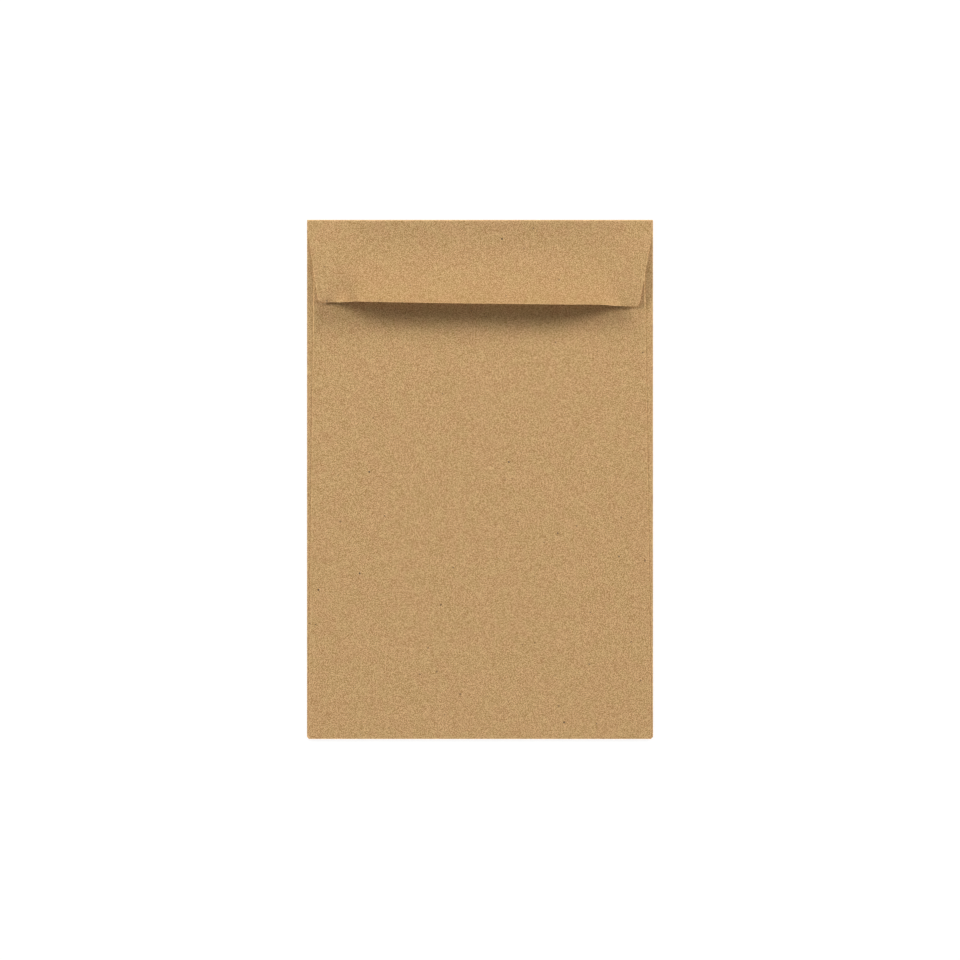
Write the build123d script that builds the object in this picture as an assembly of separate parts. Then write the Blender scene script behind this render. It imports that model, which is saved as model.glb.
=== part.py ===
from build123d import *

import os
from math import cos, pi, radians, tan

# Open-end paper envelope: one die-cut sheet, folded and glued into a pocket with an open seal flap.
#
# The envelope lies on its front panel. X runs across it, Y runs along it towards the seal flap's
# fold, and Z is up. The origin is the middle of the rectangle that it covers, on its underside.
# All sizes are in millimetres.

# Overall sizes
width = 152.4  # across the envelope, from side fold to side fold
length = 228.6  # along the envelope, from the bottom fold to the seal flap's fold
paper = 0.15  # thickness of the sheet

# How far the folds hold the layers apart
pocket_gap = 0.30  # between the front panel and a side flap, inside the side folds
flap_gap = 0.35  # between the back panel and the seal flap, at the seal flap's fold

# Side flaps, folded in from the long edges of the front panel
side_flap_width = 17.0  # from the side fold to the inner edge
side_flap_setback = 9.0  # how far each end of the inner edge is cut back
side_flap_corner_r = 4.0
fold_relief = 0.4  # notch between a side fold and the fold at each end

# Back panel, folded up from the bottom and glued over the side flaps
throat_depth = 16.0  # from the seal flap's fold to the back panel's free edge
throat_corner_r = 5.0
seam_inset_bottom = 0.7  # from the side fold to the seam, at the bottom fold
seam_inset_left = 3.1  # the same at the throat, on the -X side
seam_inset_right = 3.7  # and on the +X side

# Seal flap, folded down over the throat
flap_inset = 0.1  # from the side fold to the flap's end, at the flap's fold
flap_depth_left = 36.3  # from the fold to the corner on the -X side
flap_depth_right = 38.1
flap_shoulder_left = 1.9  # stretch beside the fold that is as wide as the fold
flap_shoulder_right = 4.4
flap_taper_left = 8.3  # degrees that each side edge leans in
flap_taper_right = 10.6
flap_corner_r_left = 2.4
flap_corner_r_right = 1.2

# How the seal flap springs up from the back panel
flap_lift = 5.5  # of the middle of the free edge, over its height at the fold
lift_curl = 1.2  # 1 lifts the flap as a parabola, and more lets it straighten towards the free edge
corner_rest = 6.0  # width of each lower corner that lies on the back panel
lift_ramp = 12.0  # width over which the free edge then climbs to its full lift
edge_spring = 1.5  # how far the side edges bow up between the fold and the corners
corner_gap = 0.6  # between the back panel and the flap's corners
lift_columns = 61  # points across the flap that its curved surface runs through
lift_rows = 9  # and points from the fold to the free edge
trim_margin = 2.0  # how far the untrimmed flap runs past its outline
surface_tolerance = 1e-4

# Heights that follow from the stack of layers
side_flap_top = 2 * paper + pocket_gap
back_top = side_flap_top + paper
flap_top = back_top + flap_gap + paper

side_fold_r = side_flap_top / 2
bottom_fold_r = back_top / 2
top_fold_r = flap_top / 2

# Where the flat layers meet the folds
side_x = width / 2 - side_fold_r
bottom_y = bottom_fold_r - length / 2
top_y = length / 2 - top_fold_r

# The seal flap's half width at its fold, and where its lower corners are
half_root = width / 2 - flap_inset
flap_left_x = (flap_depth_left - flap_shoulder_left) * tan(radians(flap_taper_left)) - half_root
flap_right_x = half_root - (flap_depth_right - flap_shoulder_right) * tan(radians(flap_taper_right))


def plate(outline: Face, top: float) -> Part:
    """Return a flat layer of paper with the given outline, its upper face at the height top."""
    return Pos(0, 0, top - paper) * extrude(outline, paper)


def fold(radius: float, run: float) -> Part:
    """Return a half-round fold that bulges towards +X, runs along Y and rests on Z = 0."""
    section = Circle(radius) - Circle(radius - paper)
    half = section & Pos(radius, 0) * Rectangle(2 * radius, 4 * radius)
    return Pos(0, run / 2, radius) * extrude(Rot(90, 0, 0) * half, run)


def front_panel() -> Part:
    """Return the front panel, which lies on the surface."""
    panel = Rectangle(2 * side_x, top_y - bottom_y)
    return plate(Pos(0, (top_y + bottom_y) / 2) * panel, paper)


def side_flap(side: int) -> Part:
    """Return one side flap with its fold, on the -X side for -1 and on the +X side for 1."""
    low_y = bottom_y + fold_relief
    high_y = top_y - fold_relief
    inner_x = width / 2 - side_flap_width
    corners = [
        (side_x, low_y),
        (side_x, high_y),
        (inner_x, high_y - side_flap_setback),
        (inner_x, low_y + side_flap_setback),
    ]
    outline = make_face(Polyline(corners, close=True))
    outline = fillet(outline.vertices().sort_by(Axis.X)[:2], side_flap_corner_r)
    side_fold = Pos(side_x, (low_y + high_y) / 2) * fold(side_fold_r, high_y - low_y)
    right = plate(outline, side_flap_top) + side_fold
    return right if side > 0 else mirror(right, Plane.YZ)


def back_panel() -> Part:
    """Return the back panel with the bottom fold that it rises from."""
    throat_y = length / 2 - throat_depth
    half_bottom = width / 2 - seam_inset_bottom
    corners = [
        (-half_bottom, bottom_y),
        (half_bottom, bottom_y),
        (width / 2 - seam_inset_right, throat_y),
        (seam_inset_left - width / 2, throat_y),
    ]
    outline = make_face(Polyline(corners, close=True))
    outline = fillet(outline.vertices().sort_by(Axis.Y)[-2:], throat_corner_r)
    bottom_fold = Pos(0, bottom_y) * Rot(0, 0, -90) * fold(bottom_fold_r, 2 * half_bottom)
    return plate(outline, back_top) + bottom_fold


def flap_outline() -> Face:
    """Return the seal flap's outline, seen from above."""
    left_corner = (flap_left_x, length / 2 - flap_depth_left)
    right_corner = (flap_right_x, length / 2 - flap_depth_right)
    corners = [
        (-half_root, top_y),
        (-half_root, length / 2 - flap_shoulder_left),
        left_corner,
        right_corner,
        (half_root, length / 2 - flap_shoulder_right),
        (half_root, top_y),
    ]
    outline = make_face(Polyline(corners, close=True))
    for corner, radius in ((left_corner, flap_corner_r_left), (right_corner, flap_corner_r_right)):
        outline = fillet(outline.vertices().sort_by_distance((*corner, 0))[0], radius)
    return outline


def flap_height(x: float, run: float) -> float:
    """Return how far the seal flap's underside is above its height at the fold.

    x is the place across the flap, and run is the distance from the fold as a share of its depth.
    """
    ramp = (min(x - flap_left_x, flap_right_x - x) - corner_rest) / lift_ramp
    lifted = (1 - cos(pi * min(max(ramp, 0), 1))) / 2
    middle = flap_lift * run**2 * (lift_curl - (lift_curl - 1) * run)
    bow = edge_spring * 27 / 4 * run**2 * (1 - run)
    corner = bow - (flap_gap - corner_gap) * run**2
    return lifted * middle + (1 - lifted) * corner


def lifted_sheet() -> Part:
    """Return the untrimmed seal flap, level at its fold and springing up towards its free edge."""
    reach = max(flap_depth_left, flap_depth_right) + trim_margin
    half_width = width / 2 + trim_margin
    deepening = (flap_depth_right - flap_depth_left) / (flap_right_x - flap_left_x)
    net = []
    for row in range(lift_rows):
        out = reach * row / (lift_rows - 1)
        line = []
        for column in range(lift_columns):
            x = half_width * (2 * column / (lift_columns - 1) - 1)
            depth = flap_depth_left + deepening * (x - flap_left_x) - top_fold_r
            line.append((x, top_y - out, flap_top - paper + flap_height(x, out / depth)))
        net.append(line)
    surface = Face.make_surface_from_array_of_points(net, tol=surface_tolerance, min_deg=3, max_deg=5)
    return Solid.extrude(surface, Vector(0, 0, paper))


def seal_flap() -> Part:
    """Return the seal flap with the fold that joins it to the front panel."""
    trim = extrude(flap_outline(), flap_top + 2 * flap_lift)
    top_fold = Pos(0, top_y) * Rot(0, 0, 90) * fold(top_fold_r, 2 * half_root)
    return (lifted_sheet() & trim) + top_fold


def envelope_sheet() -> Part:
    """Return the whole sheet, glued where the back panel lies on the side flaps."""
    sheet = front_panel() + side_flap(-1) + side_flap(1) + back_panel() + seal_flap()
    return sheet


os.makedirs("parts", exist_ok=True)
export_step(envelope_sheet(), "parts/envelope_sheet.step")
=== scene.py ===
"""Looks of an open-end paper envelope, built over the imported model.

One sheet of recycled kraft is folded into a pocket. The pocket lies on its front panel, its side
seams are glued, and the seal flap at the top is folded down but not stuck: its corners lie close
over the back panel and its middle springs up. Everything is in metres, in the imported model's frame.
"""

import logging
import math
from dataclasses import dataclass, field
from enum import Enum

import bmesh
import bpy
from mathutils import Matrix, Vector


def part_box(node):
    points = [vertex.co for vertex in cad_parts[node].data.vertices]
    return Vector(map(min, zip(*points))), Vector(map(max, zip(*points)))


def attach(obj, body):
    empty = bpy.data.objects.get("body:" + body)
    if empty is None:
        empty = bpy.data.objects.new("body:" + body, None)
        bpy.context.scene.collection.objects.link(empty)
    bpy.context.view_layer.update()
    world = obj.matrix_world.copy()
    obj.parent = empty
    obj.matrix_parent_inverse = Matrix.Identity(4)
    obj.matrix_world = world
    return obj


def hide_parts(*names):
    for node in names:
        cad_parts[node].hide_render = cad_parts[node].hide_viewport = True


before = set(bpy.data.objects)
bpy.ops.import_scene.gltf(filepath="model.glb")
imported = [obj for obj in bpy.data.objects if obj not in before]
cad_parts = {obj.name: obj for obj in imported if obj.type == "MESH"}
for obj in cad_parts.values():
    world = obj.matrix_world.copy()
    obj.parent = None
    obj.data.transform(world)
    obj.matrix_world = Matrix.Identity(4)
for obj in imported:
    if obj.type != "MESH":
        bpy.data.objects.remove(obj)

LOG = logging.getLogger("envelope")
MM = 0.001
NODE = "envelope_sheet"
BODY = "root"
Triple = tuple[float, float, float]


class Mark(str, Enum):
    """Names of the values that each point of the sheet carries."""

    FLAP_RUN = "flap_run"
    PUFF = "puff"
    CUT_EDGE = "cut_edge"
    CREASE = "crease"
    SHOWS = "shows"
    # Share of painted shade on the seal flap.
    FLAP_PAINTED_SHADE = "flap_painted_shade"
    FLECK_TONE = "fleck_tone"


def blend_in(value: float, start: float, end: float) -> float:
    """Ease from 0 at start to 1 at end.

    Args:
        value: Where on the way it is.
        start: Value at which the result leaves 0.
        end: Value at which the result reaches 1.

    Returns:
        The eased share, from 0 to 1.
    """
    share = min(max((value - start) / (end - start), 0.0), 1.0)
    return share * share * (3 - 2 * share)


def even_steps(start: float, end: float, step: float) -> list[float]:
    """Divide a stretch evenly.

    Args:
        start: First value.
        end: Last value.
        step: Longest step allowed.

    Returns:
        Values from start to end, both included.
    """
    count = max(1, math.ceil(abs(end - start) / step))
    return [start + (end - start) * i / count for i in range(count + 1)]


@dataclass(frozen=True)
class EnvelopeSize:
    """Sizes of the folded sheet."""

    width: float
    length: float
    paper: float = 0.15 * MM
    pocket_gap: float = 0.30 * MM
    flap_gap: float = 0.35 * MM
    side_flap_width: float = 17.0 * MM
    side_flap_setback: float = 9.0 * MM
    fold_relief: float = 0.4 * MM
    throat_depth: float = 16.0 * MM
    seam_inset_bottom: float = 0.7 * MM
    seam_inset_left: float = 3.1 * MM
    seam_inset_right: float = 3.7 * MM
    flap_inset: float = 0.1 * MM

    @classmethod
    def from_frame(cls) -> "EnvelopeSize":
        """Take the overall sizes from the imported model."""
        low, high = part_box(NODE)
        return cls(width=high.x - low.x, length=high.y - low.y)

    @property
    def side_flap_top(self) -> float:
        """Height of the side flaps' upper face."""
        return 2 * self.paper + self.pocket_gap

    @property
    def back_top(self) -> float:
        """Height of the back panel's upper face."""
        return self.side_flap_top + self.paper

    @property
    def flap_top(self) -> float:
        """Height of the seal flap's upper face at its fold."""
        return self.back_top + self.flap_gap + self.paper

    @property
    def side_x(self) -> float:
        """Distance from the middle at which a side fold begins."""
        return self.width / 2 - self.side_flap_top / 2

    @property
    def bottom_y(self) -> float:
        """Place along Y at which the bottom fold begins."""
        return self.back_top / 2 - self.length / 2

    @property
    def top_y(self) -> float:
        """Place along Y at which the seal flap's fold begins."""
        return self.length / 2 - self.flap_top / 2

    @property
    def half_bottom(self) -> float:
        """Half the back panel's width at the bottom fold."""
        return self.width / 2 - self.seam_inset_bottom

    @property
    def half_root(self) -> float:
        """Half the seal flap's width at its fold."""
        return self.width / 2 - self.flap_inset


@dataclass(frozen=True)
class FlapSide:
    """One side edge of the seal flap, from its fold to the rounded lower corner."""

    half_root: float
    depth: float
    shoulder: float
    taper: float
    corner_r: float
    arc_steps: int = 9

    @property
    def corner_x(self) -> float:
        """Distance from the middle of the sharp corner that the rounding replaces."""
        return self.half_root - (self.depth - self.shoulder) * math.tan(self.taper)

    def points(self, steps: int) -> list[tuple[float, float]]:
        """Walk down the edge and round the corner.

        Args:
            steps: Number of steps on the stretch above the rounding.

        Returns:
            Pairs of distance from the middle and distance from the fold.
        """
        turn = math.pi / 2 - self.taper
        cut = self.corner_r * math.tan(turn / 2)
        arc_start = self.depth - cut * math.cos(self.taper)
        walk = []
        for i in range(steps):
            run = arc_start * i / steps
            walk.append((self.half_root - max(run - self.shoulder, 0.0) * math.tan(self.taper), run))
        centre_x = self.corner_x + cut * math.sin(self.taper) - self.corner_r * math.cos(self.taper)
        centre_run = self.depth - self.corner_r
        for i in range(self.arc_steps + 1):
            angle = -self.taper + (math.pi / 2 + self.taper) * i / self.arc_steps
            x = centre_x + self.corner_r * math.cos(angle)
            walk.append((x, centre_run + self.corner_r * math.sin(angle)))
        return walk


@dataclass
class SheetPoint:
    """One point of the sheet's middle surface, with the values that it carries."""

    place: Vector
    marks: dict[Mark, float] = field(default_factory=dict)


class FoldedSheet:
    """The sheet's middle surface: grids that are joined where their edges share points."""

    MARKS = (Mark.FLAP_RUN, Mark.PUFF, Mark.CUT_EDGE, Mark.CREASE, Mark.SHOWS, Mark.FLAP_PAINTED_SHADE)
    WELD = 1e-6

    def __init__(self) -> None:
        """Start with no grids."""
        self.points: list[SheetPoint] = []
        self.quads: list[tuple[int, int, int, int]] = []

    def add_grid(self, rows: list[list[SheetPoint]]) -> None:
        """Add one grid of quads.

        Args:
            rows: Rows of points, each as long as the others.
        """
        first = len(self.points)
        columns = len(rows[0])
        for row in rows:
            self.points.extend(row)
        for r in range(len(rows) - 1):
            for c in range(columns - 1):
                corner = first + r * columns + c
                self.quads.append((corner, corner + 1, corner + columns + 1, corner + columns))

    def to_mesh(self, name: str) -> bpy.types.Mesh:
        """Weld the grids into one mesh whose faces look out of the folded sheet.

        Args:
            name: Name of the mesh.

        Returns:
            The welded mesh, with one float attribute for each mark.
        """
        mesh = bpy.data.meshes.new(name)
        mesh.from_pydata([p.place for p in self.points], [], self.quads)
        for mark in self.MARKS:
            layer = mesh.attributes.new(mark.value, "FLOAT", "POINT")
            layer.data.foreach_set("value", [p.marks.get(mark, 0.0) for p in self.points])
        work = bmesh.new()
        work.from_mesh(mesh)
        bmesh.ops.remove_doubles(work, verts=work.verts, dist=self.WELD)
        bmesh.ops.recalc_face_normals(work, faces=work.faces)
        top = max(work.faces, key=lambda f: f.calc_center_median().z)
        if top.normal.z < 0:
            bmesh.ops.reverse_faces(work, faces=work.faces)
        work.to_mesh(mesh)
        work.free()
        mesh.shade_smooth()
        return mesh


class NodeBuilder:
    """Adds and links nodes in one node tree."""

    def __init__(self, tree: bpy.types.NodeTree) -> None:
        """Keep the tree that nodes are added to."""
        self.tree = tree
        self.column = 0

    def node(self, kind: str, **settings: object) -> bpy.types.Node:
        """Add a node.

        Args:
            kind: The node's type name.
            **settings: Properties of the node to set.

        Returns:
            The new node.
        """
        made = self.tree.nodes.new(kind)
        made.location = (self.column * 40, 0)
        self.column += 1
        for key, value in settings.items():
            setattr(made, key, value)
        return made

    def feed(self, socket: bpy.types.NodeSocket, value: object) -> None:
        """Link a socket into another, or set its value.

        Args:
            socket: The input socket.
            value: An output socket, or a plain value.
        """
        if isinstance(value, bpy.types.NodeSocket):
            self.tree.links.new(value, socket)
        else:
            socket.default_value = value

    def math(self, operation: str, a: object, b: object = 0.0, clamp: bool = False) -> bpy.types.NodeSocket:
        """Add a Math node.

        Args:
            operation: Name of the operation.
            a: First operand, a socket or a number.
            b: Second operand, a socket or a number.
            clamp: Whether the result stays between 0 and 1.

        Returns:
            The result socket.
        """
        made = self.node("ShaderNodeMath", operation=operation, use_clamp=clamp)
        self.feed(made.inputs[0], a)
        self.feed(made.inputs[1], b)
        return made.outputs[0]

    def ease(self, value: object, start: object, end: object) -> bpy.types.NodeSocket:
        """Add a smooth step from 0 at start to 1 at end.

        Args:
            value: The value that is eased.
            start: Where the result leaves 0.
            end: Where the result reaches 1.

        Returns:
            The result socket.
        """
        made = self.node("ShaderNodeMapRange", interpolation_type="SMOOTHSTEP")
        self.feed(made.inputs["Value"], value)
        self.feed(made.inputs["From Min"], start)
        self.feed(made.inputs["From Max"], end)
        return made.outputs["Result"]

    def noise(
        self,
        vector: object,
        scale: object,
        detail: float = 2.0,
        roughness: float = 0.5,
        distortion: float = 0.0,
    ) -> bpy.types.NodeSocket:
        """Add a three-dimensional noise.

        Args:
            vector: Coordinates that it follows.
            scale: Number of features in a metre.
            detail: Number of finer layers.
            roughness: Strength of the finer layers.
            distortion: How far the pattern is warped.

        Returns:
            The noise's value socket.
        """
        made = self.node("ShaderNodeTexNoise")
        self.feed(made.inputs["Vector"], vector)
        self.feed(made.inputs["Scale"], scale)
        made.inputs["Detail"].default_value = detail
        made.inputs["Roughness"].default_value = roughness
        made.inputs["Distortion"].default_value = distortion
        return made.outputs[0]

    def mark(self, mark: Mark) -> bpy.types.NodeSocket:
        """Read a value that the mesh carries, in a material."""
        made = self.node("ShaderNodeAttribute", attribute_type="GEOMETRY", attribute_name=mark.value)
        return made.outputs["Fac"]

    def mix(self, share: object, first: object, second: object) -> bpy.types.NodeSocket:
        """Mix two colours in a material.

        Args:
            share: Share of the second colour.
            first: First colour, a socket or a tuple.
            second: Second colour, a socket or a tuple.

        Returns:
            The mixed colour's socket.
        """
        made = self.node("ShaderNodeMix", data_type="RGBA")
        self.feed(made.inputs["Factor"], share)
        for slot, colour in ((6, first), (7, second)):
            is_socket = isinstance(colour, bpy.types.NodeSocket)
            self.feed(made.inputs[slot], colour if is_socket else (*colour, 1.0))
        return made.outputs[2]

    def turned(self, vector: object, turn: Triple, stretch: Triple = (1.0, 1.0, 1.0)) -> bpy.types.NodeSocket:
        """Turn and stretch coordinates.

        Args:
            vector: The coordinates.
            turn: Angles about the three axes.
            stretch: Factors along the three axes.

        Returns:
            The new coordinates' socket.
        """
        made = self.node("ShaderNodeMapping")
        self.feed(made.inputs["Vector"], vector)
        made.inputs["Rotation"].default_value = turn
        made.inputs["Scale"].default_value = stretch
        return made.outputs["Vector"]


class ShapeTree(NodeBuilder):
    """A Geometry Nodes tree with named inputs, which is run once on one object."""

    def __init__(self, name: str) -> None:
        """Start a tree with one geometry in and one out."""
        group = bpy.data.node_groups.new(name, "GeometryNodeTree")
        super().__init__(group)
        group.interface.new_socket("Geometry", in_out="INPUT", socket_type="NodeSocketGeometry")
        group.interface.new_socket("Geometry", in_out="OUTPUT", socket_type="NodeSocketGeometry")
        self.values: dict[str, object] = {}
        self.group_in = self.node("NodeGroupInput")
        self.group_out = self.node("NodeGroupOutput")

    def input(self, name: str, value: object, kind: str = "NodeSocketFloat") -> bpy.types.NodeSocket:
        """Add a named input.

        Args:
            name: The input's name.
            value: What the object's modifier gives it.
            kind: The socket's type.

        Returns:
            The socket that other nodes link to.
        """
        item = self.tree.interface.new_socket(name, in_out="INPUT", socket_type=kind)
        self.values[item.identifier] = value
        return self.group_in.outputs[name]

    def attribute(self, mark: Mark) -> bpy.types.NodeSocket:
        """Read one of the sheet's values.

        Args:
            mark: Name of the value.

        Returns:
            The value's socket.
        """
        made = self.node("GeometryNodeInputNamedAttribute", data_type="FLOAT")
        made.inputs["Name"].default_value = mark.value
        return made.outputs["Attribute"]

    def finish(self, geometry: bpy.types.NodeSocket, material: bpy.types.NodeSocket) -> None:
        """End the tree in Realize Instances and Set Material.

        Args:
            geometry: The last geometry socket.
            material: The socket of the material input.
        """
        realize = self.node("GeometryNodeRealizeInstances")
        dress = self.node("GeometryNodeSetMaterial")
        self.feed(realize.inputs["Geometry"], geometry)
        self.feed(dress.inputs["Geometry"], realize.outputs["Geometry"])
        self.feed(dress.inputs["Material"], material)
        self.feed(self.group_out.inputs["Geometry"], dress.outputs["Geometry"])

    def put_on(self, piece: bpy.types.Object) -> None:
        """Add the tree to a piece as a modifier, with its inputs set.

        Args:
            piece: The piece that it shapes.
        """
        modifier = piece.modifiers.new(self.tree.name, "NODES")
        modifier.node_group = self.tree
        for identifier, value in self.values.items():
            modifier[identifier] = value


def new_piece(name: str, mesh: bpy.types.Mesh) -> bpy.types.Object:
    """Put a mesh in the scene as an object at the origin.

    Args:
        name: Name of the piece.
        mesh: Its mesh.

    Returns:
        The new object.
    """
    piece = bpy.data.objects.new(name, mesh)
    bpy.context.scene.collection.objects.link(piece)
    return piece


def bake_modifiers(piece: bpy.types.Object) -> None:
    """Turn what a piece's modifiers make into its plain mesh, and remove them.

    Args:
        piece: The piece.
    """
    bpy.context.view_layer.update()
    evaluated = piece.evaluated_get(bpy.context.evaluated_depsgraph_get())
    mesh = bpy.data.meshes.new_from_object(evaluated)
    piece.modifiers.clear()
    piece.data = mesh


@dataclass(frozen=True)
class KraftFinish:
    """Uncoated recycled kraft: fine grain, pulp clouds, short fibres and paler cut edges,
    whose pallor is partly their cut fibres and partly a painted highlight along the edge.

    The seal flap carries painted shade: it is a little darker towards the middle of its free edge,
    by flap_painted_shade, which takes back light that the sprung flap catches.
    """

    pale: Triple = (0.762, 0.516, 0.264)
    dark: Triple = (0.322, 0.166, 0.052)
    olive: Triple = (0.500, 0.340, 0.135)
    rosy: Triple = (0.560, 0.305, 0.150)
    lattice_turn: Triple = (0.62, 0.47, 0.31)
    grain_scale: float = 2700.0
    clump_scale: float = 620.0
    cloud_scale: float = 170.0
    tint_scale: float = 120.0
    fibre_across: float = 3000.0
    fibre_along: float = 420.0
    fibre_turns: Triple = (0.25, 1.25, 2.35)
    fibre_start: float = 0.10
    fibre_full: float = 0.22
    grain_contrast: float = 5.0
    clump_contrast: float = 0.24
    cloud_contrast: float = 0.12
    fibre_contrast: float = 0.25
    tint_share: float = 0.20
    tint_range: tuple[float, float] = (0.40, 0.60)
    # Paler cut edges: partly cut fibres, partly a painted highlight along the edge.
    edge_pallor_and_highlight: float = 0.10
    # Painted shade on the seal flap, darker towards the middle of its free edge.
    flap_painted_shade: float = 0.26
    crease_pallor: float = 0.05
    roughness: float = 0.88
    roughness_spread: float = 0.14
    specular_level: float = 0.08
    relief: float = 0.006 * MM

    def material(self) -> bpy.types.Material:
        """Build the paper's material.

        Returns:
            The material, ready to put on the sheet.
        """
        made = bpy.data.materials.new("recycled_kraft")
        made.use_nodes = True
        nodes = NodeBuilder(made.node_tree)
        shader = made.node_tree.nodes["Principled BSDF"]
        # Turned, so that no flat panel lies in a plane of a noise's lattice.
        place = nodes.turned(nodes.node("ShaderNodeTexCoord").outputs["Object"], self.lattice_turn)
        grain = nodes.noise(place, self.grain_scale, detail=2.0, roughness=0.6)
        clumps = nodes.noise(place, self.clump_scale, detail=1.0, roughness=0.5)
        clouds = nodes.noise(place, self.cloud_scale, detail=3.0, roughness=0.55, distortion=0.4)
        tint = nodes.noise(place, self.tint_scale, detail=2.0, roughness=0.6)
        fibres = self._fibres(nodes, place)

        patterns = {
            grain: self.grain_contrast,
            clumps: self.clump_contrast,
            clouds: self.cloud_contrast,
            fibres: self.fibre_contrast,
        }
        tone = self._tone(nodes, patterns)
        colour = nodes.mix(tone, self.dark, self.pale)
        tinted = nodes.mix(nodes.ease(tint, *self.tint_range), self.olive, self.rosy)
        colour = nodes.mix(self.tint_share, colour, tinted)
        # Paler cut edges, at the flap and at the seams: partly cut fibres, partly a painted highlight along
        # the edge.
        pallor = nodes.math("MULTIPLY", nodes.mark(Mark.CUT_EDGE), self.edge_pallor_and_highlight)
        worn = nodes.math("MULTIPLY", nodes.mark(Mark.CREASE), self.crease_pallor)
        colour = nodes.mix(nodes.math("ADD", pallor, worn, clamp=True), colour, self.pale)
        # Painted shade: the seal flap darkens towards the middle of its free edge, taking back light that its
        # slope catches.
        shade = nodes.math("MULTIPLY", nodes.mark(Mark.FLAP_PAINTED_SHADE), self.flap_painted_shade)
        colour = nodes.mix(shade, colour, self.dark)
        nodes.feed(shader.inputs["Base Color"], colour)

        drift = nodes.math("MULTIPLY", nodes.math("SUBTRACT", clouds, 0.5), self.roughness_spread)
        nodes.feed(shader.inputs["Roughness"], nodes.math("ADD", drift, self.roughness))
        shader.inputs["Specular IOR Level"].default_value = self.specular_level

        bump = nodes.node("ShaderNodeBump")
        bump.inputs["Strength"].default_value = 1.0
        bump.inputs["Distance"].default_value = self.relief
        nodes.feed(bump.inputs["Height"], nodes.math("ADD", grain, fibres))
        nodes.feed(shader.inputs["Normal"], bump.outputs["Normal"])
        return made

    def _tone(self, nodes: NodeBuilder, patterns: dict[bpy.types.NodeSocket, float]) -> bpy.types.NodeSocket:
        """Add up what makes the pulp lighter or darker, from place to place.

        Args:
            nodes: The material's node builder.
            patterns: Patterns near 0.5 on average, each with its contrast.

        Returns:
            A value near 0.5, from 0 for dark to 1 for pale.
        """
        tone: object = 0.5
        for pattern, contrast in patterns.items():
            swing = nodes.math("MULTIPLY", nodes.math("SUBTRACT", pattern, 0.5), contrast)
            tone = nodes.math("ADD", tone, swing)
        return nodes.math("ADD", tone, 0.0, clamp=True)

    def _fibres(self, nodes: NodeBuilder, place: bpy.types.NodeSocket) -> bpy.types.NodeSocket:
        """Lay short fibres in three directions, some pale and some dark.

        Args:
            nodes: The material's node builder.
            place: Turned coordinates.

        Returns:
            The strands' value, 0.5 where there are none.
        """
        total: object = 0.5
        stretch = (self.fibre_across, self.fibre_along, self.fibre_across)
        for turn in self.fibre_turns:
            along = nodes.turned(place, (0.0, 0.0, turn), stretch)
            strand = nodes.noise(along, 1.0, detail=1.0, roughness=0.4, distortion=0.6)
            pale = nodes.ease(strand, 0.5 + self.fibre_start, 0.5 + self.fibre_full)
            dark = nodes.ease(strand, 0.5 - self.fibre_start, 0.5 - self.fibre_full)
            total = nodes.math("ADD", total, nodes.math("MULTIPLY", nodes.math("SUBTRACT", pale, dark), 0.5))
        return total


@dataclass(frozen=True)
class FleckFinish:
    """Bark and shive flecks in the pulp, from straw to nearly black."""

    straw: Triple = (0.330, 0.190, 0.080)
    bark: Triple = (0.075, 0.042, 0.022)
    grain_scale: float = 4000.0
    grain_contrast: float = 0.3
    roughness: float = 0.8
    relief: float = 0.006 * MM

    def material(self) -> bpy.types.Material:
        """Build the flecks' material.

        Returns:
            The material, ready to put on the flecks.
        """
        made = bpy.data.materials.new("bark_fleck")
        made.use_nodes = True
        nodes = NodeBuilder(made.node_tree)
        shader = made.node_tree.nodes["Principled BSDF"]
        place = nodes.node("ShaderNodeTexCoord").outputs["Object"]
        grain = nodes.noise(place, self.grain_scale, detail=2.0)
        swing = nodes.math("MULTIPLY", nodes.math("SUBTRACT", grain, 0.5), self.grain_contrast)
        share = nodes.math("ADD", nodes.mark(Mark.FLECK_TONE), swing, clamp=True)
        nodes.feed(shader.inputs["Base Color"], nodes.mix(share, self.straw, self.bark))
        shader.inputs["Roughness"].default_value = self.roughness
        bump = nodes.node("ShaderNodeBump")
        bump.inputs["Distance"].default_value = self.relief
        nodes.feed(bump.inputs["Height"], grain)
        nodes.feed(shader.inputs["Normal"], bump.outputs["Normal"])
        return made


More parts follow.
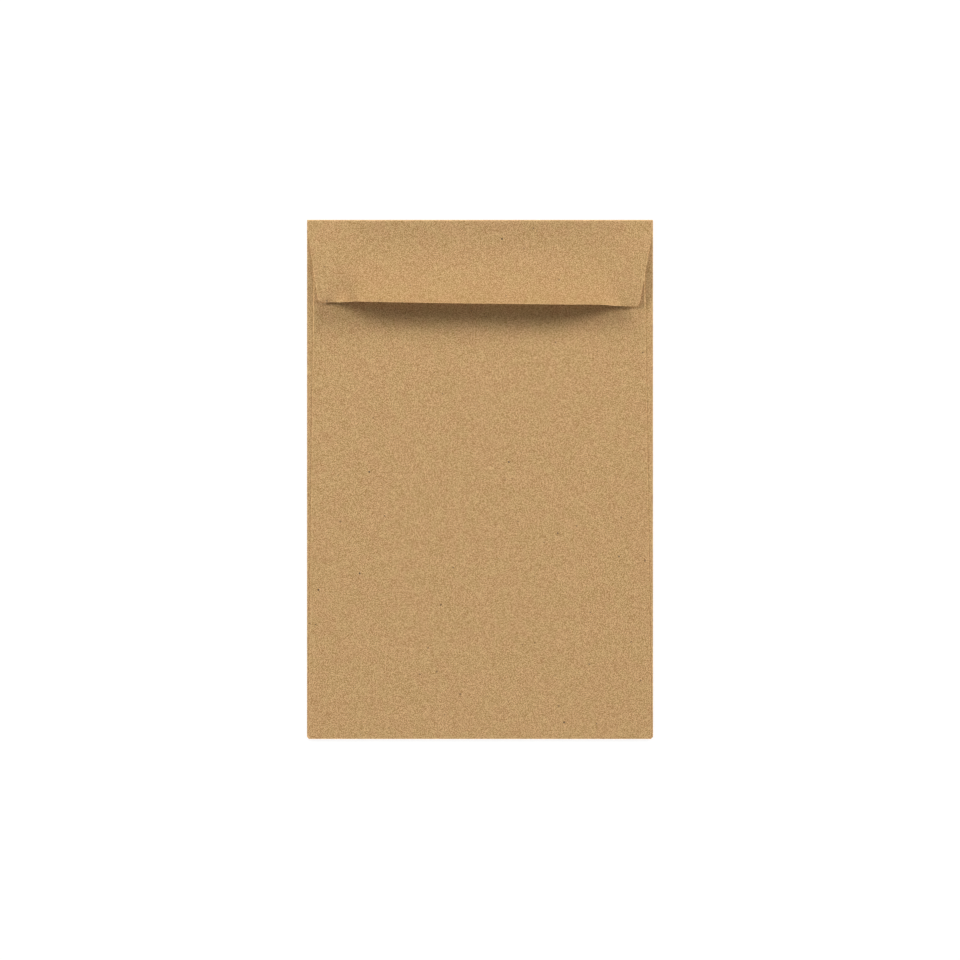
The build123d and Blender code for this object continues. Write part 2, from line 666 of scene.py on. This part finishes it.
@dataclass
class PaperSheet:
    """The envelope's one sheet: front panel, side flaps, back panel and seal flap."""

    size: EnvelopeSize
    left: FlapSide
    right: FlapSide
    grid_step: float = 2.4 * MM
    edge_step: float = 0.45 * MM
    fold_steps: int = 8
    side_flap_columns: int = 6
    flap_steps: int = 26
    edge_bow: float = 0.45 * MM
    flap_lift: float = 5.5 * MM
    lift_curl: float = 1.2
    corner_rest: float = 6.0 * MM
    lift_ramp: float = 12.0 * MM
    edge_spring: float = 1.5 * MM
    corner_gap: float = 0.6 * MM
    edge_draw: float = 0.3
    # Distances from the flap's sides over which its painted shade fades in.
    painted_shade_from_side: tuple[float, float] = (4.0 * MM, 16.0 * MM)
    pocket_puff: float = 0.30 * MM
    puff_from_seam: tuple[float, float] = (9.0 * MM, 40.0 * MM)
    puff_from_bottom: tuple[float, float] = (2.0 * MM, 40.0 * MM)
    wave_height: float = 0.16 * MM
    wave_scale: float = 17.0

    # Scales t * t * (1 - t), whose top is at t = 2/3, to a height of 1.
    BOW_SCALE = 27 / 4

    def middle_surface(self) -> bpy.types.Mesh:
        """Build the sheet's middle surface, folded flat, as one welded mesh.

        Returns:
            The welded mesh.
        """
        sheet = FoldedSheet()
        sheet.add_grid(self._front_rows())
        for side in (-1, 1):
            sheet.add_grid(self._side_fold_rows(side))
            sheet.add_grid(self._side_flap_rows(side))
        sheet.add_grid(self._bottom_fold_rows())
        sheet.add_grid(self._back_rows())
        sheet.add_grid(self._top_fold_rows())
        sheet.add_grid(self._seal_flap_rows())
        return sheet.to_mesh("paper_sheet")

    def sprung_middle(self, material: bpy.types.Material) -> bpy.types.Mesh:
        """Build the middle surface with its flap sprung, and with no thickness.

        Args:
            material: The paper's material.

        Returns:
            The plain mesh.
        """
        piece = new_piece("sprung_middle", self.middle_surface())
        self._spring_tree(material).put_on(piece)
        bake_modifiers(piece)
        mesh = piece.data
        bpy.data.objects.remove(piece)
        return mesh

    def build(self, material: bpy.types.Material) -> bpy.types.Object:
        """Build the sheet with its thickness, its sprung flap and its pocket's gentle waves.

        Args:
            material: The paper's material.

        Returns:
            The finished piece.
        """
        piece = new_piece("paper_sheet", self.middle_surface())
        self._spring_tree(material).put_on(piece)
        thicken = piece.modifiers.new("paper_thickness", "SOLIDIFY")
        thicken.thickness = self.size.paper
        thicken.offset = 0.0
        thicken.use_even_offset = True
        thicken.use_quality_normals = True
        bake_modifiers(piece)
        return piece

    def _columns(self) -> list[float]:
        """Return places across the sheet, as shares of the distance to a side fold.

        Returns:
            Shares from -1 to 1, close together at the seams.
        """
        seam = self.size.half_bottom / self.size.side_x
        inner = seam - self.edge_step / self.size.side_x
        return [-1.0, -seam, *even_steps(-inner, inner, self.grid_step / self.size.side_x), seam, 1.0]

    def _side_rows(self) -> list[float]:
        """Return places along Y that a side fold and the panels beside it share."""
        relief = self.size.fold_relief
        return even_steps(self.size.bottom_y + relief, self.size.top_y - relief, self.grid_step)

    def _front_rows(self) -> list[list[SheetPoint]]:
        """Return the front panel's grid.

        Returns:
            Rows of the grid's points.
        """
        rows = []
        for y in [self.size.bottom_y, *self._side_rows(), self.size.top_y]:
            half = self.size.half_root if y == self.size.top_y else self.size.side_x
            marks = {Mark.SHOWS: 1.0}
            places = [Vector((half * c, y, self.size.paper / 2)) for c in self._columns()]
            rows.append([SheetPoint(place, marks) for place in places])
        return rows

    def _side_fold_rows(self, side: int) -> list[list[SheetPoint]]:
        """Return one side fold's grid.

        Args:
            side: -1 for the side at -X, 1 for the side at +X.

        Returns:
            Rows of the grid's points.
        """
        outer = self.size.side_flap_top / 2
        rows = []
        for y in self._side_rows():
            row = []
            for step in range(self.fold_steps + 1):
                out, up = self._fold_point(outer, step)
                place = Vector((side * (self.size.side_x + out), y, up))
                row.append(SheetPoint(place, {Mark.CREASE: self._crease(step)}))
            rows.append(row)
        return rows

    def _side_flap_rows(self, side: int) -> list[list[SheetPoint]]:
        """Return one side flap's grid.

        Args:
            side: -1 for the side at -X, 1 for the side at +X.

        Returns:
            Rows of the grid's points.
        """
        size = self.size
        ys = self._side_rows()
        rows = []
        for y in ys:
            from_end = min(y - ys[0], ys[-1] - y)
            share = min((from_end + self.edge_step) / (size.side_flap_setback + self.edge_step), 1.0)
            inner = size.side_x - share * (size.side_x - size.width / 2 + size.side_flap_width)
            row = []
            for step in range(self.side_flap_columns + 1):
                x = size.side_x + (inner - size.side_x) * step / self.side_flap_columns
                row.append(SheetPoint(Vector((side * x, y, size.side_flap_top - size.paper / 2))))
            rows.append(row)
        return rows

    def _bottom_fold_rows(self) -> list[list[SheetPoint]]:
        """Return the bottom fold's grid.

        Returns:
            Rows of the grid's points.
        """
        outer = self.size.back_top / 2
        rows = []
        for step in range(self.fold_steps + 1):
            out, up = self._fold_point(outer, step)
            row = []
            for c in self._columns()[1:-1]:
                place = Vector((self.size.side_x * c, self.size.bottom_y - out, up))
                row.append(SheetPoint(place, {Mark.CREASE: self._crease(step)}))
            rows.append(row)
        return rows

    def _back_rows(self) -> list[list[SheetPoint]]:
        """Return the back panel's grid, from the bottom fold to the throat.

        Returns:
            Rows of the grid's points.
        """
        size = self.size
        throat_y = size.length / 2 - size.throat_depth
        seam = size.half_bottom / size.side_x
        rows = []
        for y in even_steps(size.bottom_y, throat_y, self.grid_step):
            up = (y - size.bottom_y) / (throat_y - size.bottom_y)
            left = -size.half_bottom + (size.seam_inset_left - size.seam_inset_bottom) * up
            right = size.half_bottom - (size.seam_inset_right - size.seam_inset_bottom) * up
            row = []
            for c in self._columns()[1:-1]:
                x = (left + right) / 2 + (right - left) / 2 * c / seam
                from_seam = min(x - left, right - x)
                puff = blend_in(from_seam, *self.puff_from_seam)
                puff *= blend_in(y - size.bottom_y, *self.puff_from_bottom)
                marks = {
                    Mark.PUFF: puff,
                    Mark.CUT_EDGE: self._edge_share(from_seam),
                    Mark.SHOWS: 1.0,
                }
                row.append(SheetPoint(Vector((x, y, size.back_top - size.paper / 2)), marks))
            rows.append(row)
        return rows

    def _top_fold_rows(self) -> list[list[SheetPoint]]:
        """Return the grid of the seal flap's fold.

        Returns:
            Rows of the grid's points.
        """
        outer = self.size.flap_top / 2
        rows = []
        for step in range(self.fold_steps + 1):
            out, up = self._fold_point(outer, step)
            row = []
            for c in self._columns():
                place = Vector((self.size.half_root * c, self.size.top_y + out, up))
                row.append(SheetPoint(place, {Mark.CREASE: self._crease(step)}))
            rows.append(row)
        return rows

    def _seal_flap_rows(self) -> list[list[SheetPoint]]:
        """Return the seal flap's grid, from its fold to its free edge.

        Returns:
            Rows of the grid's points.
        """
        size = self.size
        fold_y = size.length / 2
        root_run = fold_y - size.top_y
        z = size.flap_top - size.paper / 2
        left_walk = self.left.points(self.flap_steps)
        right_walk = self.right.points(self.flap_steps)
        rows = []
        for (left_x, left_run), (right_x, right_run) in zip(left_walk, right_walk):
            row = []
            for c in self._columns():
                share = (c + 1) / 2
                x = -left_x + (right_x + left_x) * share
                depth = self._depth_at(x)
                run = left_run + (right_run - left_run) * share
                run = root_run + run * (1 - root_run / depth)
                run += self.edge_bow * (run / depth) ** 2 * (1 - (2 * share - 1) ** 2)
                along = (run - root_run) / (self._depth_at(x) - root_run)
                from_side = min(x + left_x, right_x - x)
                from_edge = min(from_side, max(depth - run, 0.0))
                marks = {
                    Mark.FLAP_RUN: along,
                    Mark.CUT_EDGE: self._edge_share(from_edge),
                    Mark.SHOWS: 1.0,
                    # Share of painted shade: grows towards the free edge and away from the flap's sides.
                    Mark.FLAP_PAINTED_SHADE: along * along * blend_in(from_side, *self.painted_shade_from_side),
                }
                row.append(SheetPoint(Vector((x, fold_y - run, z)), marks))
            rows.append(row)
        return rows

    def _depth_at(self, x: float) -> float:
        """Return the seal flap's depth at a place across it."""
        share = (x + self.left.corner_x) / (self.right.corner_x + self.left.corner_x)
        return self.left.depth + (self.right.depth - self.left.depth) * share

    def _edge_share(self, distance: float) -> float:
        """Return how much a point belongs to a cut edge, from 1 on it to 0 beyond it."""
        return max(0.0, 1.0 - distance / self.edge_step)

    def _fold_point(self, outer: float, step: int) -> tuple[float, float]:
        """Return how far out and how high a point of a half-round fold is.

        Args:
            outer: The fold's outer radius.
            step: Which of its steps, from the lower layer up.

        Returns:
            The distance beyond the flat layers, and the height.
        """
        angle = math.pi * step / self.fold_steps - math.pi / 2
        radius = outer - self.size.paper / 2
        return radius * math.cos(angle), outer + radius * math.sin(angle)

    def _crease(self, step: int) -> float:
        """Return how creased a fold is at one of its steps, most at its outermost."""
        return math.sin(math.pi * step / self.fold_steps)

    def _spring_tree(self, material: bpy.types.Material) -> ShapeTree:
        """Build the rule by which the flap springs up and the pocket swells.

        Args:
            material: The paper's material.

        Returns:
            The tree, ready to put on the piece.
        """
        tree = ShapeTree("sheet_spring")
        left_x = tree.input("Left corner", -self.left.corner_x)
        right_x = tree.input("Right corner", self.right.corner_x)
        rest = tree.input("Corner rest", self.corner_rest)
        ramp = tree.input("Lift ramp", self.lift_ramp)
        lift = tree.input("Flap lift", self.flap_lift)
        curl = tree.input("Lift curl", self.lift_curl)
        spring = tree.input("Edge spring", self.edge_spring)
        corner_rise = tree.input("Corner rise", self.corner_gap - self.size.flap_gap)
        draw = tree.input("Edge draw", self.edge_draw / self.left.depth)
        puff = tree.input("Pocket puff", self.pocket_puff)
        waves = tree.input("Wave height", self.wave_height)
        scale = tree.input("Wave scale", self.wave_scale)
        paper = tree.input("Paper", material, "NodeSocketMaterial")

        place = tree.node("GeometryNodeInputPosition").outputs["Position"]
        split = tree.node("ShaderNodeSeparateXYZ")
        tree.feed(split.inputs[0], place)
        x = split.outputs["X"]
        inward = tree.math("MINIMUM", tree.math("SUBTRACT", x, left_x), tree.math("SUBTRACT", right_x, x))
        lifted = tree.ease(inward, rest, tree.math("ADD", rest, ramp))
        run = tree.attribute(Mark.FLAP_RUN)
        run_squared = tree.math("MULTIPLY", run, run)
        straighten = tree.math("MULTIPLY", tree.math("SUBTRACT", curl, 1.0), run)
        rise = tree.math("MULTIPLY", run_squared, tree.math("SUBTRACT", curl, straighten))
        middle = tree.math("MULTIPLY", lift, rise)
        bow = tree.math("MULTIPLY", run_squared, tree.math("SUBTRACT", 1.0, run))
        bow = tree.math("MULTIPLY", bow, tree.math("MULTIPLY", spring, self.BOW_SCALE))
        corner = tree.math("ADD", bow, tree.math("MULTIPLY", corner_rise, run_squared))
        flap_up = tree.math(
            "ADD",
            tree.math("MULTIPLY", lifted, middle),
            tree.math("MULTIPLY", tree.math("SUBTRACT", 1.0, lifted), corner),
        )

        wave = tree.math("SUBTRACT", tree.noise(place, scale, detail=1.0), 0.5)
        wave = tree.math("MULTIPLY", tree.math("MULTIPLY", wave, 2.0), waves)
        swell = tree.math("MULTIPLY", tree.math("ADD", puff, wave), tree.attribute(Mark.PUFF))
        flap_wave = tree.math("MULTIPLY", tree.math("MULTIPLY", wave, run_squared), lifted)
        up = tree.math("ADD", tree.math("ADD", flap_up, flap_wave), swell)

        drawn_back = tree.math("MULTIPLY", tree.math("MULTIPLY", flap_up, flap_up), draw)
        offset = tree.node("ShaderNodeCombineXYZ")
        tree.feed(offset.inputs["Y"], drawn_back)
        tree.feed(offset.inputs["Z"], up)
        move = tree.node("GeometryNodeSetPosition")
        tree.feed(move.inputs["Geometry"], tree.group_in.outputs["Geometry"])
        tree.feed(move.inputs["Offset"], offset.outputs[0])
        tree.finish(move.outputs["Geometry"], paper)
        return tree


@dataclass
class PulpFlecks:
    """Flecks of bark that show in the sheet's outer face, scattered by a fixed seed."""

    paper: float
    density: float = 9000.0
    radius: float = 0.65 * MM
    smallest: float = 0.22
    flatness: float = 0.05
    rarity: float = 4.0
    slenderness: tuple[float, float] = (0.25, 0.9)
    seed: int = 11

    def build(self, over: bpy.types.Mesh, material: bpy.types.Material) -> bpy.types.Object:
        """Scatter the flecks over the sheet's middle surface, raised to its outer face.

        Args:
            over: The sheet's middle surface, sprung into shape.
            material: The flecks' material.

        Returns:
            The finished piece.
        """
        piece = new_piece("pulp_flecks", over)
        self._scatter_tree(material).put_on(piece)
        bake_modifiers(piece)
        return piece

    def _scatter_tree(self, material: bpy.types.Material) -> ShapeTree:
        """Build the tree that scatters the flecks.

        Args:
            material: The flecks' material.

        Returns:
            The tree, ready to put on the piece.
        """
        tree = ShapeTree("fleck_scatter")
        density = tree.input("Density", self.density)
        radius = tree.input("Largest radius", self.radius)
        seed = tree.input("Seed", self.seed, "NodeSocketInt")
        sheet_half = tree.input("Half thickness", self.paper / 2)
        bark = tree.input("Bark", material, "NodeSocketMaterial")

        scatter = tree.node("GeometryNodeDistributePointsOnFaces", distribute_method="RANDOM")
        tree.feed(scatter.inputs["Mesh"], tree.group_in.outputs["Geometry"])
        tree.feed(scatter.inputs["Selection"], tree.math("GREATER_THAN", tree.attribute(Mark.SHOWS), 0.99))
        tree.feed(scatter.inputs["Density"], density)
        tree.feed(scatter.inputs["Seed"], seed)

        lift = tree.node("ShaderNodeVectorMath", operation="SCALE")
        tree.feed(lift.inputs[0], scatter.outputs["Normal"])
        tree.feed(lift.inputs["Scale"], sheet_half)
        raised = tree.node("GeometryNodeSetPosition")
        tree.feed(raised.inputs["Geometry"], scatter.outputs["Points"])
        tree.feed(raised.inputs["Offset"], lift.outputs[0])

        chip = tree.node("GeometryNodeMeshIcoSphere")
        tree.feed(chip.inputs["Radius"], radius)
        chip.inputs["Subdivisions"].default_value = 1

        spin = tree.node("FunctionNodeRotateRotation", rotation_space="LOCAL")
        turn = tree.node("ShaderNodeCombineXYZ")
        tree.feed(turn.inputs["Z"], self._random(tree, 0.0, 2 * math.pi, 1))
        to_rotation = tree.node("FunctionNodeEulerToRotation")
        tree.feed(to_rotation.inputs[0], turn.outputs[0])
        tree.feed(spin.inputs["Rotation"], scatter.outputs["Rotation"])
        tree.feed(spin.inputs["Rotate By"], to_rotation.outputs[0])

        size = tree.math("POWER", self._random(tree, 0.0, 1.0, 2), self.rarity)
        long = tree.math("ADD", tree.math("MULTIPLY", size, 1.0 - self.smallest), self.smallest)
        wide = tree.math("MULTIPLY", long, self._random(tree, *self.slenderness, 3))
        stretch = tree.node("ShaderNodeCombineXYZ")
        tree.feed(stretch.inputs["X"], long)
        tree.feed(stretch.inputs["Y"], wide)
        tree.feed(stretch.inputs["Z"], self.flatness)

        place = tree.node("GeometryNodeInstanceOnPoints")
        tree.feed(place.inputs["Points"], raised.outputs["Geometry"])
        tree.feed(place.inputs["Instance"], chip.outputs["Mesh"])
        tree.feed(place.inputs["Rotation"], spin.outputs["Rotation"])
        tree.feed(place.inputs["Scale"], stretch.outputs[0])

        store = tree.node("GeometryNodeStoreNamedAttribute", data_type="FLOAT", domain="INSTANCE")
        tree.feed(store.inputs["Geometry"], place.outputs["Instances"])
        store.inputs["Name"].default_value = Mark.FLECK_TONE.value
        tree.feed(store.inputs["Value"], self._random(tree, 0.0, 1.0, 4))
        tree.finish(store.outputs["Geometry"], bark)
        return tree

    def _random(self, tree: ShapeTree, low: float, high: float, offset: int) -> bpy.types.NodeSocket:
        """Add a random value for each fleck.

        Args:
            tree: The tree that it belongs to.
            low: Lowest value.
            high: Highest value.
            offset: Number that tells this value from the others.

        Returns:
            The value's socket.
        """
        made = tree.node("FunctionNodeRandomValue", data_type="FLOAT")
        made.inputs[2].default_value = low
        made.inputs[3].default_value = high
        made.inputs["Seed"].default_value = self.seed + offset
        return made.outputs[1]


@dataclass
class Envelope:
    """The whole envelope: its sheet and the flecks in its pulp."""

    size: EnvelopeSize
    sheet: PaperSheet
    flecks: PulpFlecks

    @classmethod
    def from_frame(cls) -> "Envelope":
        """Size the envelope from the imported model.

        Returns:
            The envelope, not yet built.
        """
        size = EnvelopeSize.from_frame()
        left = FlapSide(size.half_root, 36.3 * MM, 1.9 * MM, math.radians(8.3), 2.4 * MM)
        right = FlapSide(size.half_root, 38.1 * MM, 4.4 * MM, math.radians(10.6), 1.2 * MM)
        return cls(size, PaperSheet(size, left, right), PulpFlecks(size.paper))

    def build(self) -> list[bpy.types.Object]:
        """Build and dress every piece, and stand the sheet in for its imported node.

        Returns:
            The finished pieces.
        """
        kraft = KraftFinish().material()
        paper = self.sheet.build(kraft)
        flecks = self.flecks.build(self.sheet.sprung_middle(kraft), FleckFinish().material())
        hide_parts(NODE)
        for piece in (paper, flecks):
            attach(piece, BODY)
            LOG.info("%s: %d faces", piece.name, len(piece.data.polygons))
        return [paper, flecks]


@dataclass(frozen=True)
class SoftBox:
    """One soft box, which stands low round the table and faces the envelope."""

    name: str
    azimuth: float
    elevation: float
    half_width: float
    half_height: float
    distance: float
    share: float

    def build(self) -> None:
        """Hang the soft box where it faces the middle of the table."""
        azimuth, elevation = math.radians(self.azimuth), math.radians(self.elevation)
        direction = Vector(
            (
                math.cos(elevation) * math.cos(azimuth),
                math.cos(elevation) * math.sin(azimuth),
                math.sin(elevation),
            )
        )
        lamp = bpy.data.lights.new(self.name, "AREA")
        lamp.shape = "RECTANGLE"
        lamp.size = 2 * self.distance * math.tan(math.radians(self.half_width))
        lamp.size_y = 2 * self.distance * math.tan(math.radians(self.half_height))
        lamp.energy = self.share * (math.pi * self.distance) ** 2 / math.sin(elevation)
        light = bpy.data.objects.new(self.name, lamp)
        bpy.context.scene.collection.objects.link(light)
        light.location = direction * self.distance
        light.rotation_euler = direction.to_track_quat("Z", "Y").to_euler()
        light.visible_camera = False


@dataclass
class Studio:
    """Pale floor, soft boxes and the camera that looks straight down."""

    boxes: tuple[SoftBox, ...] = (
        SoftBox("left_box", 146.0, 17.0, 16.0, 6.5, 2.2, 0.34),
        SoftBox("right_box", 27.0, 12.0, 12.0, 4.6, 2.2, 0.31),
        SoftBox("rear_box", 100.0, 25.0, 22.0, 6.5, 2.0, 0.08),
        SoftBox("front_box", 262.0, 7.5, 10.0, 3.5, 2.6, 0.175),
    )
    sky_share: float = 0.09
    lens: float = 85.0
    sensor: float = 36.0
    view_width: float = 422.9 * MM
    view_offset: tuple[float, float] = (0.0, -0.26 * MM)
    floor_side: float = 6.0
    floor_drop: float = 0.05 * MM
    floor_white: float = 0.9
    floor_glow: float = 1.1
    glow_share: float = 0.8

    def build(self) -> None:
        """Set up the floor, the lights and the camera."""
        self._floor()
        self._sky()
        for box in self.boxes:
            box.build()
        self._camera()
        bpy.context.scene.view_settings.view_transform = "Standard"

    def _floor(self) -> None:
        """Lay a white floor that keeps the envelope's shadow."""
        bpy.ops.mesh.primitive_plane_add(size=self.floor_side, location=(0, 0, 0))
        floor = bpy.context.object
        floor.name = "floor"
        for vertex in floor.data.vertices:
            vertex.co.z = -self.floor_drop
        made = bpy.data.materials.new("white_floor")
        made.use_nodes = True
        nodes = NodeBuilder(made.node_tree)
        made.node_tree.nodes.remove(made.node_tree.nodes["Principled BSDF"])
        paint = nodes.node("ShaderNodeBsdfDiffuse")
        paint.inputs["Color"].default_value = (*[self.floor_white] * 3, 1.0)
        glow = nodes.node("ShaderNodeEmission")
        glow.inputs["Strength"].default_value = self.floor_glow
        seen = nodes.node("ShaderNodeLightPath").outputs["Is Camera Ray"]
        mix = nodes.node("ShaderNodeMixShader")
        nodes.feed(mix.inputs["Fac"], nodes.math("MULTIPLY", seen, self.glow_share))
        nodes.feed(mix.inputs[1], paint.outputs[0])
        nodes.feed(mix.inputs[2], glow.outputs[0])
        output = made.node_tree.nodes["Material Output"]
        nodes.feed(output.inputs["Surface"], mix.outputs[0])
        floor.data.materials.append(made)

    def _sky(self) -> None:
        """Light a little from all round, white where it is seen or mirrored."""
        world = bpy.data.worlds.new("studio_sky")
        world.use_nodes = True
        bpy.context.scene.world = world
        nodes = NodeBuilder(world.node_tree)
        background = world.node_tree.nodes["Background"]
        path = nodes.node("ShaderNodeLightPath")
        seen = nodes.math("MAXIMUM", path.outputs["Is Camera Ray"], path.outputs["Is Glossy Ray"])
        seen = nodes.math("MAXIMUM", seen, path.outputs["Is Transmission Ray"])
        extra = nodes.math("MULTIPLY", seen, 1.0 - self.sky_share)
        nodes.feed(background.inputs["Strength"], nodes.math("ADD", extra, self.sky_share))
        background.inputs["Color"].default_value = (1.0, 1.0, 1.0, 1.0)

    def _camera(self) -> None:
        """Aim the camera straight down at the envelope."""
        lens = bpy.data.cameras.new("overhead_camera")
        lens.lens = self.lens
        lens.sensor_width = self.sensor
        camera = bpy.data.objects.new("overhead_camera", lens)
        bpy.context.scene.collection.objects.link(camera)
        height = self.view_width * self.lens / self.sensor
        camera.location = (self.view_offset[0], self.view_offset[1], height)
        bpy.context.scene.camera = camera


def main() -> None:
    """Build the envelope and the studio, and report each piece."""
    logging.basicConfig(level=logging.INFO, format="%(name)s: %(message)s")
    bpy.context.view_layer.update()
    Envelope.from_frame().build()
    Studio().build()


if __name__ == "__main__":
    main()
